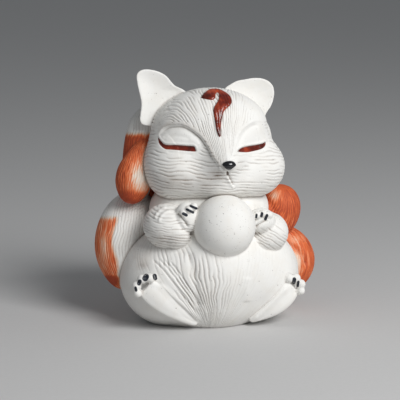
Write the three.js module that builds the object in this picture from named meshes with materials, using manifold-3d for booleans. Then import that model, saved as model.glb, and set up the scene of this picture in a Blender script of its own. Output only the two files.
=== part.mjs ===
// A small seated fox with nine tails, pressed and carved in white clay as one solid piece.
// It sits upright with its eyes closed, holds a ball against its chest and shows the soles
// of both feet. The tails rise behind it and droop to both sides.
// Millimetres, +Z up. The fox faces -Y, so its own right side is -X.

import * as THREE from "three";
import { mergeVertices } from "three/addons/utils/BufferGeometryUtils.js";
import Module from "manifold-3d";

const wasm = await Module();
wasm.setup();

// Driving dimensions.
const seatHeight = 15; // middle of the belly above the table
const headHeight = 50; // middle of the head above the table
const headTilt = 4.5; // degrees, towards the fox's left shoulder
const headTurn = -3; // degrees, towards the fox's right
const ballRadius = 8.4;
const clay = { color: 0xe6e1d8, roughness: 0.85, metalness: 0 };

const v3 = (x, y, z) => new THREE.Vector3(x, y, z);
const mix = (a, b, t) => a + (b - a) * t;
const ease = (low, high, x) => THREE.MathUtils.smoothstep(x, low, high);

// Closed geometry to a solid, with its faces turned outwards.
function solid(geometry) {
  const bare = geometry.clone();
  bare.deleteAttribute("normal");
  bare.deleteAttribute("uv");
  const merged = mergeVertices(bare, 1e-4);
  const triVerts = new Uint32Array(merged.index.array);
  const make = () =>
    new wasm.Manifold(
      new wasm.Mesh({ numProp: 3, vertProperties: merged.attributes.position.array, triVerts }),
    );
  const made = make();
  if (made.volume() > 0) return made;
  for (let i = 0; i < triVerts.length; i += 3) {
    [triVerts[i + 1], triVerts[i + 2]] = [triVerts[i + 2], triVerts[i + 1]];
  }
  return make();
}

// A unit sphere whose every point is moved by a function.
function shaped(around, along, move) {
  const geometry = new THREE.SphereGeometry(1, around, along);
  const position = geometry.getAttribute("position");
  const point = new THREE.Vector3();
  for (let i = 0; i < position.count; i++) {
    const moved = move(point.fromBufferAttribute(position, i).clone());
    position.setXYZ(i, moved.x, moved.y, moved.z);
  }
  return geometry;
}

// A plain egg-shaped lump that may be turned about the vertical.
function lump({ at, size, turn = 0 }, around, along) {
  return shaped(around, along, (p) => p.multiply(size).applyAxisAngle(v3(0, 0, 1), turn).add(at));
}

// Signed distance, roughly, from a point to an egg shape that may be turned about the vertical.
function eggDistance(p, egg) {
  const q = p.clone().sub(egg.at).applyAxisAngle(v3(0, 0, 1), -(egg.turn ?? 0));
  const near = q.clone().divide(egg.size);
  const far = near.clone().divide(egg.size).length();
  return far < 1e-9 ? -Math.min(egg.size.x, egg.size.y, egg.size.z) : (near.length() * (near.length() - 1)) / far;
}

// Distance to several eggs run together, with soft valleys between them.
function blendDistance(p, eggs, soft) {
  return eggs.reduce((so, egg) => {
    const d = eggDistance(p, egg);
    const h = Math.max(soft - Math.abs(so - d), 0) / soft;
    return Math.min(so, d) - (h * h * soft) / 4;
  }, Infinity);
}

// How far a surface is from a middle point along a direction. distance(p) is below 0 inside it.
function reach(middle, direction, distance) {
  let inside = 0;
  let outside = 60;
  for (let step = 0; step < 30; step++) {
    const half = (inside + outside) / 2;
    if (distance(middle.clone().addScaledVector(direction, half)) < 0) inside = half;
    else outside = half;
  }
  return inside;
}

// A round form that fills such a surface. fineness(t) spaces its rings from the back to the front.
function filled(middle, distance, around, along, fineness = (t) => t) {
  return shaped(around, along, (p) => {
    const polar = Math.PI * fineness(Math.acos(THREE.MathUtils.clamp(p.y, -1, 1)) / Math.PI);
    const ring = Math.hypot(p.x, p.z) || 1;
    const d = v3((p.x / ring) * Math.sin(polar), Math.cos(polar), (p.z / ring) * Math.sin(polar));
    return d.multiplyScalar(reach(middle, d, distance)).add(middle);
  });
}

// A round-ended form along a smooth path. section(s, angle, round) gives its half sizes
// sideways and forwards.
function swept(points, section, around, along, facing = v3(0, 1, 0)) {
  const path = new THREE.CatmullRomCurve3(points, false, "catmullrom", 0.5);
  return shaped(around, along, (p) => {
    const s = (1 - p.y) / 2;
    const round = Math.sqrt(Math.max(0, 1 - p.y * p.y));
    const angle = Math.atan2(p.z, p.x);
    const tangent = path.getTangent(s);
    const side = tangent.clone().cross(facing).normalize();
    const front = side.clone().cross(tangent);
    const [wide, deep] = section(s, angle, round);
    return path
      .getPoint(s)
      .addScaledVector(side, wide * Math.cos(angle))
      .addScaledVector(front, deep * Math.sin(angle));
  });
}

// Overlapping lumps can leave a sealed space between them, which the clay fills.
function withoutHollows(made) {
  return made.decompose().find((body) => body.volume() > 0);
}

const pair = (make) => [make(-1), make(1)];

// Head, in its own frame: cranium, forehead, two full cheeks, bridge, muzzle and chin.
const headMiddle = v3(1.2, -3, headHeight);
const headEggs = [
  { at: v3(0, 1.5, 2.4), size: v3(17.4, 12, 12) },
  { at: v3(0, -2.5, 5.6), size: v3(12.5, 9.5, 8.8) },
  ...pair((side) => ({ at: v3(side * 9.9, -0.5, -6.4), size: v3(9.8, 11, 9) })),
  { at: v3(0, -7, -2.2), size: v3(6.6, 8, 6.4) },
  { at: v3(0, -12, -4), size: v3(3.4, 5.6, 3.3) },
  { at: v3(0, -5.5, -9.6), size: v3(9, 8.5, 5.4) },
];
const sockets = [
  { at: v3(-10.8, -10.4, 2), size: v3(8.4, 3.8, 3.5), turn: -0.45 },
  { at: v3(8.6, -10.4, 2.5), size: v3(7.2, 3.8, 4.2), turn: 0.45 },
];
const lids = [
  { at: v3(-10.4, -4.9, 1.9), size: v3(7.3, 4.5, 3.2), turn: -0.45 },
  { at: v3(8.4, -4.9, 2.3), size: v3(7.2, 4.5, 3.7), turn: 0.45 },
];
const headPlace = new THREE.Matrix4()
  .makeTranslation(headMiddle.x, headMiddle.y, headMiddle.z)
  .multiply(new THREE.Matrix4().makeRotationY(THREE.MathUtils.degToRad(headTilt)))
  .multiply(new THREE.Matrix4().makeRotationZ(THREE.MathUtils.degToRad(headTurn)));

const skullDistance = (p) => blendDistance(p, headEggs, 4.5);

function faceDistance(p) {
  const carved = Math.max(skullDistance(p), ...sockets.map((egg) => -eggDistance(p, egg)));
  return Math.min(carved, ...lids.map((egg) => eggDistance(p, egg)));
}

// The point of the face at a place seen from the front.
function onFace(x, z, proud = 0) {
  return v3(x, -reach(v3(x, 0, z), v3(0, -1, 0), faceDistance) - proud, z);
}

// A thin round bead that follows the face through places seen from the front.
function faceBead(places, radius, proud, around, along) {
  const points = places.map(([x, z]) => onFace(x, z, proud));
  const section = (s, angle, round) => [radius(s) * round, radius(s) * round];
  return swept(points, section, around, along, v3(0, -1, 0));
}

const brows = [
  [[-15.5, 2.6], [-14, 4.6], [-11.4, 5.6], [-8.6, 4.6], [-6.2, 2.2], [-4.4, -1.2], [-3, -3.4], [-1.8, -5.2]],
  [[3.4, 1], [4.4, 3.8], [6.6, 6.3], [9, 7.4], [12, 7]],
];
const eyes = [
  [[-15.9, 1.4], [-14.2, -0.9], [-9.8, -0.9], [-6.6, -0.9]],
  [[15, 1.1], [10.4, -0.4], [5.7, -1]],
];
const mark = [
  [-6, 11.8], [-4.4, 12.6], [-2.2, 14], [0.2, 14.2], [1.4, 12.8], [0.8, 11.4], [-0.7, 10], [-2, 8.4], [-2.2, 5.6], [-1.7, 2.4],
];

function headSolid() {
  const toFront = (t) => 1 - Math.pow(1 - t, 1.2);
  let made = solid(filled(v3(0, 0, 0), skullDistance, 36, 25, toFront));
  for (const egg of sockets) made = made.subtract(solid(lump(egg, 16, 8)));
  for (const egg of lids) made = made.add(solid(lump(egg, 16, 8)));
  made = made.add(solid(lump({ at: onFace(0, -4.3, -0.3), size: v3(2.2, 1.6, 1.5) }, 10, 6)));
  for (const brow of brows) made = made.subtract(solid(faceBead(brow, () => 0.7, 0.2, 6, 16)));
  for (const eye of eyes) made = made.subtract(solid(faceBead(eye, () => 0.7, 0.1, 6, 10)));
  const swelling = (s) => mix(1.7, 0.45, ease(0.5, 1, s)) - 0.5 * ease(0.15, 0.3, s) * ease(0.45, 0.3, s);
  made = made.add(solid(faceBead(mark, swelling, 0, 7, 18)));
  for (const outline of earOutlines) made = made.add(earSolid(outline));
  return made.transform(headPlace.elements);
}

// An ear: a blunt leaf on the corner of the head, rounded behind and hollow in front. Its outline
// is given as seen from the front.
const earOutlines = [
  [[-19.8, 3], [-20.6, 9], [-22.2, 14.6], [-22.3, 17], [-20.4, 18.2], [-17.2, 18], [-14.4, 16.9], [-11.8, 14.4], [-8, 12], [-10, 5]],
  [[5, 11.5], [7.5, 14], [11.2, 15.3], [14.2, 14.8], [16.4, 13], [17, 10.8], [16, 8], [15, 4], [7, 4]],
];

function earSolid(outline) {
  const edge = new THREE.CatmullRomCurve3(outline.map(([x, z]) => v3(x, 0, z)), true, "catmullrom", 0.5);
  const rim = edge.getSpacedPoints(200);
  const middle = rim.reduce((sum, p) => sum.addScaledVector(p, 1 / rim.length), v3(0, 0, 0));
  const bearing = (p) => Math.atan2(p.z - middle.z, p.x - middle.x);
  const apart = (a, b) => Math.abs(Math.atan2(Math.sin(a - b), Math.cos(a - b)));
  return solid(
    shaped(18, 6, (p) => {
      const flat = Math.hypot(p.x, p.z);
      const angle = Math.atan2(p.z, p.x);
      const nearest = rim.reduce((best, q) => (apart(bearing(q), angle) < apart(bearing(best), angle) ? q : best));
      const depth = p.y < 0 ? p.y * 0.8 + 1.6 * (1 - flat * flat) : p.y * 2.6;
      return middle.clone().lerp(nearest, flat).add(v3(0, 3.5 + depth, 0));
    }),
  );
}

// Body: belly, haunches, chest and back run together.
const bodyMiddle = v3(0, 0, seatHeight);
const bodyEggs = [
  { at: v3(0, -4.5, 15.5), size: v3(17, 16, 16) },
  ...pair((side) => ({ at: v3(side * 11.6, -1.5, 12.5), size: v3(13.6, 14.5, 13.5) })),
  { at: v3(0, -1, 31), size: v3(16.8, 12, 11) },
  { at: v3(0, 6, 18), size: v3(16, 12, 18) },
];

function bodySolid() {
  return solid(filled(bodyMiddle, (p) => blendDistance(p, bodyEggs, 4), 28, 15));
}

// A foot: sole turned to the front, from the heel at the bottom middle up to four toes.
function footSolid(side) {
  const heel = v3(side * 6.0, -17.0, 3.0);
  const toes = side < 0 ? v3(-22.2, -13, 14.4) : v3(22, -13.2, 12.4);
  const arch = heel.clone().lerp(toes, 0.5).add(v3(0, -2.0, -0.8));
  let made = solid(
    swept([heel, arch, toes], (s, a, round) => [mix(1.8, 4.4, s) * Math.pow(round, 0.6), 2.6 * round], 12, 8, v3(0, -1, 0)),
  );
  const along = toes.clone().sub(heel).normalize();
  const across = along.clone().cross(v3(0, -1, 0)).normalize();
  for (let i = 0; i < 4; i++) {
    const place = (i - 1.5) * 1.75;
    const at = toes
      .clone()
      .addScaledVector(across, place)
      .addScaledVector(along, -0.5 - 0.12 * place * place)
      .add(v3(0, -1, 0));
    made = made.add(solid(lump({ at, size: v3(1.4, 1.6, 1.4) }, 6, 4)));
  }
  return made;
}

// An arm: a chubby upper arm, a forearm and a paw with three fingers laid on the ball.
function armSolid(side) {
  const drop = side < 0 ? 0 : -2.2;
  const shoulder = v3(side < 0 ? -14.6 : 13.8, -8.5, 28 + drop);
  const paw = v3(side * 9.4, -17.2, 31.8 + drop);
  let made = solid(lump({ at: shoulder, size: v3(6.8, 7.4, 6.4) }, 14, 9));
  const elbow = shoulder.clone().lerp(paw, 0.6).add(v3(side * 0.6, -1, -1));
  made = made.add(solid(swept([shoulder, elbow, paw], (s, a, round) => [4.2 * round, 3.8 * round], 10, 6)));
  for (let i = 0; i < 3; i++) {
    const at = paw.clone().add(v3(-side * (i - 1) * 1.5, -1.0, 1.0 + (i - 1) * 0.6));
    made = made.add(solid(lump({ at, size: v3(1.2, 1.4, 1.7) }, 6, 4)));
  }
  return made;
}

// Nine tails. Each leaves the rump, rises to its crest and droops to its tip.
const tailRoot = v3(0, 12, 8);
const tails = [
  { name: "upper right", by: [v3(-10, 15, 50), v3(-14.5, 10, 54), v3(-17, 9, 43), v3(-19.8, 7.5, 30)], girth: 5.8 },
  { name: "middle right", by: [v3(-13, 9, 46), v3(-16.5, 5, 50), v3(-20.5, 1.5, 42), v3(-23.4, 0, 33)], girth: 6.2 },
  { name: "lower right", by: [v3(-13, 11, 26), v3(-19.5, 8.5, 29), v3(-24, 5.5, 20), v3(-22.7, 4, 8.5)], girth: 7.8 },
  { name: "upper left", by: [v3(11, 15, 48), v3(16.5, 12.5, 54), v3(18.2, 10, 46), v3(19, 9, 36)], girth: 4.8 },
  { name: "middle left", by: [v3(12, 11, 22), v3(18, 6, 25), v3(21.6, 3.5, 29.5), v3(22.2, 2, 36)], girth: 7.2 },
  { name: "lower left", by: [v3(12, 13, 14), v3(21, 8, 19.5), v3(25.8, 4.5, 15.5), v3(25.2, 3, 7)], girth: 7.2 },
  { name: "back right", by: [v3(-6, 18, 34), v3(-10, 19, 42), v3(-12.5, 20, 32), v3(-13, 18.5, 20)], girth: 6.8 },
  { name: "back middle", by: [v3(0, 17, 42), v3(0.5, 18, 50), v3(0.8, 21, 42), v3(1, 21, 31)], girth: 6.8 },
  { name: "back left", by: [v3(7, 18, 28), v3(11, 19, 36), v3(13.5, 20, 27), v3(14, 18.5, 15)], girth: 6.8 },
];

function tailSolid({ name, by, girth }) {
  const section = (s, angle, round) => {
    const full = girth * mix(0.45, 1, ease(0.1, 0.75, s)) * Math.pow(round, 0.85);
    const locks = 1 + 0.04 * Math.cos(6 * angle);
    return [full * locks, full * locks];
  };
  return solid(swept([tailRoot, ...by], section, 12, name.startsWith("back") ? 8 : 10, v3(0.3, 1, 0.2).normalize()));
}

function fox() {
  let made = bodySolid().add(headSolid());
  const ball = { at: v3(0.3, -15.6, 28.8), size: v3(ballRadius, ballRadius, ballRadius) };
  made = made.add(solid(lump(ball, 18, 12)));
  for (const side of [-1, 1]) made = made.add(footSolid(side)).add(armSolid(side));
  for (const tail of tails) made = made.add(tailSolid(tail));
  const table = new THREE.BoxGeometry(120, 120, 40).translate(0, 0, -20);
  const seated = withoutHollows(made.subtract(solid(table)));
  const { min, max } = seated.boundingBox();
  return seated.translate([-(min[0] + max[0]) / 2, -(min[1] + max[1]) / 2, 0]);
}

function meshOf(name, made, look) {
  const { vertProperties, triVerts } = made.getMesh();
  const geometry = new THREE.BufferGeometry();
  geometry.setAttribute("position", new THREE.BufferAttribute(vertProperties, 3));
  geometry.setIndex(new THREE.BufferAttribute(triVerts, 1));
  geometry.computeVertexNormals();
  const mesh = new THREE.Mesh(geometry, new THREE.MeshStandardMaterial(look));
  mesh.name = name;
  return mesh;
}

const figure = new THREE.Group();
figure.add(meshOf("nine_tailed_fox", fox(), clay));

export default figure;
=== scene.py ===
import math

import bmesh
import bpy
import numpy as np
from mathutils import Matrix, Vector


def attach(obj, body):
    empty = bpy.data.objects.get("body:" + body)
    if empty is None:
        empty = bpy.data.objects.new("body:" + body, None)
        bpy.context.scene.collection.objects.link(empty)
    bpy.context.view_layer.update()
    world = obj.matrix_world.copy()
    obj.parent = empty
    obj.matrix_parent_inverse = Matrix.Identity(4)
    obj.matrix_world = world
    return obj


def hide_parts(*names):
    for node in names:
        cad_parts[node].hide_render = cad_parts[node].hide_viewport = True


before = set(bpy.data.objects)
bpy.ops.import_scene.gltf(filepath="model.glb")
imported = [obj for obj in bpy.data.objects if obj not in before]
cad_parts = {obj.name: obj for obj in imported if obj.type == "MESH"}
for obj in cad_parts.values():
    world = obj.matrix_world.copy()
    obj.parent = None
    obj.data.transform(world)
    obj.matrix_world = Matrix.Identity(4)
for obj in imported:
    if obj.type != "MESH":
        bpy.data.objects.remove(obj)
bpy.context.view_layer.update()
print("frame loaded")

# All forms are worked out in millimetres, with the fox facing -Y and the table at Z = 0,
# and put in the frame's place at the end.
standing = {"shift": (-0.67, -1.46, 0.0), "scale": 0.001}

# Where the photograph is taken from. Lines that are carved or painted on the front are given
# as places in its frame, 400 wide, and "mm" is what one step of it covers at the fox.
photo = {
    "azimuth": -15.0,
    "elevation": 10.0,
    "distance": 480.0,
    "mm": 0.28,
    "middle": 200,
    "fox": (208.0, 316.8),
    "sensor": 36.0,
}


def vec(*xyz):
    return np.array(xyz, float)


def unit(v):
    return v / np.linalg.norm(v)


def mix(a, b, t):
    return a + (b - a) * t


def ease(low, high, x):
    t = np.clip((x - low) / (high - low), 0.0, 1.0)
    return t * t * (3 - 2 * t)


def turned(points, angle):  # about the vertical
    c, s = math.cos(angle), math.sin(angle)
    return np.stack([points[:, 0] * c - points[:, 1] * s, points[:, 0] * s + points[:, 1] * c, points[:, 2]], 1)


azimuth, elevation = math.radians(photo["azimuth"]), math.radians(photo["elevation"])
toCamera = vec(
    math.sin(azimuth) * math.cos(elevation), -math.cos(azimuth) * math.cos(elevation), math.sin(elevation)
)
toRight = vec(math.cos(azimuth), math.sin(azimuth), 0)
toTop = np.cross(toCamera, toRight)
lookAt = (
    toRight * (photo["middle"] - photo["fox"][0]) * photo["mm"]
    + toTop * (photo["fox"][1] - photo["middle"]) * photo["mm"]
)


def seen(points):
    # places in the photograph's frame
    offset = points - lookAt
    step = photo["distance"] / (photo["distance"] - offset @ toCamera) / photo["mm"]
    return np.stack([photo["middle"] + offset @ toRight * step, photo["middle"] - offset @ toTop * step], 1)


# Distances to forms: negative inside, in millimetres.


def eggDistance(points, at, size, turn=0.0):
    q = turned(points - vec(*at), -turn)
    near = q / vec(*size)
    k0 = np.linalg.norm(near, axis=1)
    k1 = np.linalg.norm(near / vec(*size), axis=1)
    return k0 * (k0 - 1) / np.maximum(k1, 1e-9)


def softMin(a, b, soft):
    h = np.maximum(soft - np.abs(a - b), 0) / soft
    return np.minimum(a, b) - h * h * soft / 4


def eggsDistance(points, eggs, soft):
    whole = np.full(len(points), 1e3)
    for egg in eggs:
        whole = softMin(whole, eggDistance(points, **egg), soft)
    return whole


def curvePoints(knots, count):
    # a smooth path through the knots
    knots = np.array(knots, float)
    t = np.linspace(0, 1, count) * (len(knots) - 1)
    i = np.minimum(t.astype(int), len(knots) - 2)
    w = (t - i)[:, None]
    last = len(knots) - 1
    before = np.where((i > 0)[:, None], knots[np.maximum(i - 1, 0)], 2 * knots[0] - knots[1])
    after = np.where((i + 2 <= last)[:, None], knots[np.minimum(i + 2, last)], 2 * knots[last] - knots[last - 1])
    a, b = knots[i], knots[i + 1]
    m0, m1 = (b - before) / 2, (after - a) / 2
    bend = (2 * w**3 - 3 * w**2 + 1) * a + (w**3 - 2 * w**2 + w) * m0
    return bend + (3 * w**2 - 2 * w**3) * b + (w**3 - w**2) * m1


def smoothLoop(knots, count):
    knots = np.array(knots, float)
    ringed = np.concatenate([knots[-2:], knots, knots[:3]])
    path = curvePoints(ringed, count)
    steps = (count - 1) / (len(ringed) - 1)
    return path[round(2 * steps) : round((2 + len(knots)) * steps) + 1]


def alongPath(points, path, chunk=20000):
    # nearest place on a polyline: distance, share of the way along, offset from it, and its run there
    a, b = path[:-1], path[1:]
    ab = b - a
    ab2 = np.maximum((ab * ab).sum(1), 1e-12)
    dist, share = np.empty(len(points)), np.empty(len(points))
    offset, run = np.empty_like(points), np.empty_like(points)
    for start in range(0, len(points), chunk):
        part = slice(start, start + chunk)
        p = points[part]
        t = np.clip(((p[:, None] - a) * ab).sum(2) / ab2, 0, 1)
        off = p[:, None] - (a + t[..., None] * ab)
        d = (off * off).sum(2)
        k = d.argmin(1)
        r = np.arange(len(p))
        dist[part] = np.sqrt(d[r, k])
        share[part] = (k + t[r, k]) / len(ab)
        offset[part] = off[r, k]
        run[part] = ab[k]
    return dist, share, offset, run


# Meshes: every form is a round ball of faces whose points are moved.


def ballMesh(around, along, move):
    bm = bmesh.new()
    bmesh.ops.create_uvsphere(bm, u_segments=around, v_segments=along, radius=1)
    mesh = bpy.data.meshes.new("form")
    bm.to_mesh(mesh)
    bm.free()
    directions = np.empty(len(mesh.vertices) * 3)
    mesh.vertices.foreach_get("co", directions)
    directions = directions.reshape(-1, 3)
    directions /= np.linalg.norm(directions, axis=1)[:, None]
    mesh.vertices.foreach_set("co", move(directions).ravel())
    mesh.update()
    return mesh


def filled(middle, distance, around, along):
    # pushed out from the middle until the distance is nought
    def move(d):
        inside = np.zeros(len(d))
        outside = np.full(len(d), 60.0)
        for _ in range(24):
            half = (inside + outside) / 2
            within = distance(middle + d * half[:, None]) < 0
            inside = np.where(within, half, inside)
            outside = np.where(within, outside, half)
        return middle + d * inside[:, None]

    return ballMesh(around, along, move)


def swept(knots, section, around, along, facing=(0, 1, 0)):
    # a round-ended form along a smooth path; section gives half sizes sideways and forwards
    fine = curvePoints(knots, 400)
    slopes = np.gradient(fine, axis=0)
    slopes /= np.linalg.norm(slopes, axis=1)[:, None]

    def move(d):
        s = (1 - d[:, 2]) / 2
        ring = np.sqrt(np.maximum(0, 1 - d[:, 2] ** 2))
        angle = np.arctan2(d[:, 1], d[:, 0])
        k = np.clip((s * 399).round().astype(int), 0, 399)
        side = np.cross(slopes[k], vec(*facing))
        side /= np.linalg.norm(side, axis=1)[:, None]
        front = np.cross(side, slopes[k])
        wide, deep = section(s, angle, ring)
        return fine[k] + side * (wide * np.cos(angle))[:, None] + front * (deep * np.sin(angle))[:, None]

    return ballMesh(around, along, move)


def lump(at, size, turn=0.0, around=48, along=32):
    return ballMesh(around, along, lambda d: turned(d * vec(*size), turn) + vec(*at))


# Head

head = {
    "at": (1.2, -3.0, 50.0),
    "tilt": 4.5,
    "turn": -3.0,
    "soft": 4.5,
    "eggs": [
        dict(at=(-1.9, 1.5, 2.4), size=(15.6, 12, 11.3)),
        dict(at=(0, -2.5, 5.6), size=(12.5, 9.5, 8.2)),
        dict(at=(-9.7, -0.5, -7.2), size=(9.8, 11, 9.8)),
        dict(at=(9.9, -0.5, -6.2), size=(9.8, 11, 8.8)),
        dict(at=(0, -7, -2.2), size=(6.6, 8, 6.4)),
        dict(at=(0, -12, -4), size=(3.4, 5.6, 3.3)),
        dict(at=(0, -5.5, -9.6), size=(9, 8.5, 5.4)),
    ],
    "nose": dict(place=(229.2, 165.2), size=(2.0, 1.5, 1.35), sunk=0.5),
    "ears": [
        dict(
            rim=[(-19.8, 3), (-20.6, 9), (-22.2, 14.6), (-22.3, 17), (-20.4, 18.2), (-17.2, 18), (-14.4, 16.9),
                 (-11.8, 14.4), (-8, 12), (-10, 5)],
            depth=3.5,
        ),
        dict(
            rim=[(2, 12.5), (4.6, 16.0), (8.3, 17.2), (11.5, 17.7), (14.1, 17.2), (15.8, 15.9), (16.4, 14.2),
                 (16.4, 12.2), (15.8, 10), (14.6, 7.8), (13.6, 5), (7, 4)],
            depth=3.5,
        ),
    ],
}
headPlace = np.array(
    Matrix.Translation(head["at"])
    @ Matrix.Rotation(math.radians(head["tilt"]), 4, "Y")
    @ Matrix.Rotation(math.radians(head["turn"]), 4, "Z")
)


def fromHead(points):
    return points @ headPlace[:3, :3].T + headPlace[:3, 3]


def toHead(points):
    return (points - headPlace[:3, 3]) @ headPlace[:3, :3]


def skullDistance(p):
    return eggsDistance(p, head["eggs"], head["soft"])


def onFace(place):
    # the point of the face that the photograph shows at a place
    far = lookAt + toRight * (place[0] - photo["middle"]) * photo["mm"] - toTop * (place[1] - photo["middle"]) * photo["mm"]
    eye = lookAt + toCamera * photo["distance"]
    ray = unit(far - eye)
    near = eye + ray * (photo["distance"] - 60)
    reach = np.linspace(0, 60, 1200)
    points = near + ray * reach[:, None]
    return points[np.argmax(skullDistance(toHead(points)) < 0)], ray


def earMesh(ear):
    rim = smoothLoop([(x, 0, z) for x, z in ear["rim"]], 900)
    middle = rim.mean(0)
    bearing = np.arctan2(rim[:, 2] - middle[2], rim[:, 0] - middle[0])
    order = np.argsort(bearing)
    bearing, rim = bearing[order], rim[order]

    def move(d):
        # d's own Z runs from the front of the ear to its back
        flat = np.hypot(d[:, 0], d[:, 1])
        angle = np.arctan2(d[:, 1], d[:, 0])
        edge = np.stack([np.interp(angle, bearing, rim[:, k], period=2 * math.pi) for k in range(3)], 1)
        depth = np.where(d[:, 2] < 0, d[:, 2] * 0.8 + 1.6 * (1 - flat**2), d[:, 2] * 2.6)
        return middle + (edge - middle) * flat[:, None] + np.stack([0 * depth, ear["depth"] + depth, 0 * depth], 1)

    return ballMesh(72, 32, move)


def headMeshes():
    meshes = [filled(vec(0, 0, 0), skullDistance, 260, 180)]
    meshes += [earMesh(ear) for ear in head["ears"]]
    for mesh in meshes:
        mesh.transform(Matrix(headPlace.tolist()))
    nose = head["nose"]
    at, ray = onFace(nose["place"])
    meshes.append(lump(at + ray * nose["sunk"], nose["size"]))
    return meshes


# Body, ball, feet and arms

body = {
    "middle": (0, 0, 15),
    "soft": 4,
    "eggs": [
        dict(at=(0, -4.5, 15.5), size=(17, 16, 16)),
        dict(at=(-11.6, -1.5, 12.5), size=(13.6, 14.5, 13.5)),
        dict(at=(11.6, -1.5, 12.5), size=(13.6, 14.5, 13.5)),
        dict(at=(0, -1, 31), size=(16.8, 12, 11)),
        dict(at=(0, 6, 18), size=(16, 12, 18)),
        dict(at=(0, -4.5, 7), size=(13, 11.5, 9)),
    ],
}
ball = {"at": (0.3, -15.6, 28.8), "radius": 8.4}
feet = [
    dict(
        side=-1,
        path=[(-6.9, -13.6, 1.6), (-14.9, -14.8, 7.2), (-21.2, -13.6, 12.9)],
        toes=[(-66, 2.7), (-27, 2.8), (22, 2.8), (66, 2.9)],
    ),
    dict(
        side=1,
        path=[(8.2, -13.6, 1.5), (15.4, -14.4, 5.8), (20.4, -13.2, 10.6)],
        toes=[(-66, 2.9), (-22, 2.8), (27, 2.8), (66, 2.7)],
    ),
]
footShape = {"heel": 1.0, "toes": 4.0, "thin": 1.1, "thick": 2.2, "toe": (1.3, 1.5, 1.3)}
arms = [
    dict(
        side=-1,
        shoulder=dict(at=(-13.9, -8.5, 28.2), size=(6.4, 7.6, 6.1)),
        fore=[(-14, -10, 27.4), (-12.4, -12.6, 26.8), (-10.6, -13.4, 29.0)],
        girth=4.0,
        paw=dict(at=(-9.7, -13.5, 31.2), size=(3.3, 3.2, 4.2)),
        fingers=[(-11.2, -15.5, 32.7), (-9.7, -15.9, 33.7), (-8.3, -16.0, 34.5)],
    ),
    dict(
        side=1,
        shoulder=dict(at=(14.4, -8.5, 25.2), size=(5.8, 7.4, 5.6)),
        fore=[(14.2, -10, 25), (12.8, -12.4, 24.6), (11.6, -13.4, 26.6)],
        girth=3.7,
        paw=dict(at=(11.2, -13.4, 29.4), size=(3.9, 3.2, 3.4)),
        fingers=[(9.4, -16.0, 31.4), (11.1, -16.0, 31.8), (12.8, -15.6, 31.2)],
    ),
]


def footMeshes(foot):
    path = np.array(foot["path"])
    face = (foot["side"] * 0.25, -1, 0.1)
    shape = footShape

    def section(s, angle, ring):
        return mix(shape["heel"], shape["toes"], s**0.8) * ring**0.4, mix(shape["thin"], shape["thick"], s) * ring**0.6

    meshes = [swept(path, section, 48, 40, face)]
    along = unit(path[2] - path[1])
    across = unit(np.cross(along, vec(*face)))
    middle = path[2] - along * 0.6
    for bearing, reach in foot["toes"]:
        a = math.radians(bearing)
        at = middle + (along * math.cos(a) + across * math.sin(a)) * reach + unit(vec(*face)) * 0.7
        meshes.append(lump(at, shape["toe"], around=20, along=14))
    return meshes


def armMeshes(arm):
    meshes = [lump(**arm["shoulder"]), lump(**arm["paw"])]
    meshes.append(swept(arm["fore"], lambda s, a, r: (arm["girth"] * r**0.8, arm["girth"] * r**0.8), 40, 28))
    for at in arm["fingers"]:
        meshes.append(lump(at, (1.0, 1.2, 1.1), around=20, along=14))
    return meshes


# Tails: "by" are the points a tail passes after the root, "opens" the shares of its length
# between which it swells to its full girth.

tailRoot = (0, 12, 8)
tails = [
    dict(name="upper right", by=[(-10, 15, 50), (-14.5, 10, 54), (-17, 9, 43), (-19.8, 7.5, 30)], girth=5.8),
    dict(name="middle right", by=[(-13, 9, 43), (-16.6, 5, 47), (-20.0, 1.8, 42), (-22.2, 0, 33.2)], girth=6.9,
         opens=(0.5, 0.92)),
    dict(name="lower right", by=[(-13, 11, 26), (-19.5, 8.5, 29), (-24, 5.5, 20), (-22.7, 4, 8.5)], girth=7.8),
    dict(name="upper left", by=[(11, 15, 46), (16, 12.5, 52), (17.8, 10.5, 46.5), (17.4, 9.5, 37)], girth=4.3),
    dict(name="middle left", by=[(12, 11, 22), (18, 6, 25), (21.6, 3.5, 29.5), (22.2, 2, 36)], girth=7.2),
    dict(name="lower left", by=[(12, 13, 13), (21, 8, 18), (26.2, 4.5, 14.4), (25.8, 3, 6.2)], girth=7.2),
    dict(name="back right", by=[(-6, 18, 34), (-10, 19, 42), (-12.5, 20, 32), (-13, 18.5, 20)], girth=6.8),
    dict(name="back middle", by=[(0, 17, 42), (0.5, 18, 50), (0.8, 21, 42), (1, 21, 31)], girth=6.8),
    dict(name="back left", by=[(7, 18, 28), (11, 19, 36), (13.5, 20, 27), (14, 18.5, 15)], girth=6.8),
]


def roundEnds(share):
    return (2 * np.sqrt(np.clip(share * (1 - share), 0, 1))) ** 0.85


def tailGirth(tail, share):
    low, high = tail.get("opens", (0.1, 0.75))
    return tail["girth"] * mix(0.45, 1, ease(low, high, share)) * roundEnds(share)


def tailMesh(tail):
    def section(s, angle, ring):
        full = tailGirth(tail, s)
        return full, full

    return swept([tailRoot, *tail["by"]], section, 64, 56, unit(vec(0.3, 1, 0.2)))


# Lines carved or drawn on the front, as places in the photograph's frame.


def withinLoop(spots, loop):
    a, b = loop, np.roll(loop, -1, 0)
    x, y = spots[:, :1], spots[:, 1:]
    crosses = (a[:, 1] > y) != (b[:, 1] > y)
    rise = np.where(np.abs(b[:, 1] - a[:, 1]) < 1e-9, 1e-9, b[:, 1] - a[:, 1])
    left = x < a[:, 0] + (y - a[:, 1]) / rise * (b[:, 0] - a[:, 0])
    return (crosses & left).sum(1) % 2 == 1


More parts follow.
